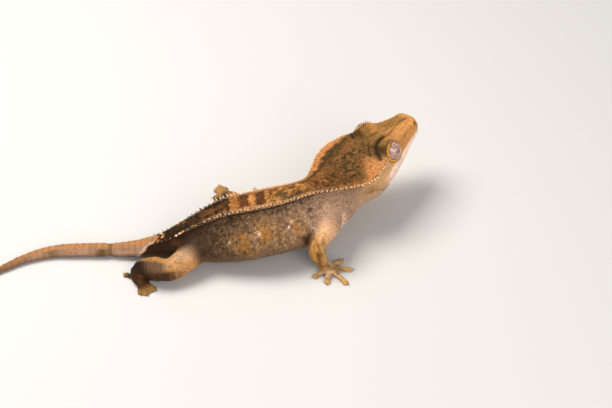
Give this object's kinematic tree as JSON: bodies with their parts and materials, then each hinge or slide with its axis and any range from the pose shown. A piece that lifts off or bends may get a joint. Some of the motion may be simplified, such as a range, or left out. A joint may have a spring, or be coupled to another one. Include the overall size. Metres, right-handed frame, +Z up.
{
  "type": "crested gecko model",
  "caption": "Still life-size model of a crested gecko with raised head, fringed crest and spread toes, lying on a floor.",
  "frame": {"origin": "on the floor, under the middle of the animal's box", "axes": "+X along the body towards the snout, +Y to the animal's left, +Z up"},
  "size_m": [0.1486, 0.065, 0.0281],
  "materials": {
    "skin": "fine granular scales, mottled tan, olive brown and orange",
    "eye": "wet gloss over a marbled iris with a slit pupil",
    "claw": "translucent brown horn"
  },
  "bodies": {
    "root": {"head": "skin", "eye_right": "eye", "eye_left": "eye", "neck": "skin", "torso": "skin", "tail_base": "skin", "tail_middle": "skin", "tail_tip": "skin", "upper_arm_right": "skin", "forearm_right": "skin", "hand_right": "skin", "upper_arm_left": "skin", "forearm_left": "skin", "hand_left": "skin", "thigh_right": "skin", "shin_right": "skin", "foot_right": "skin", "thigh_left": "skin", "shin_left": "skin", "foot_left": "skin"}
  },
  "joints": []
}
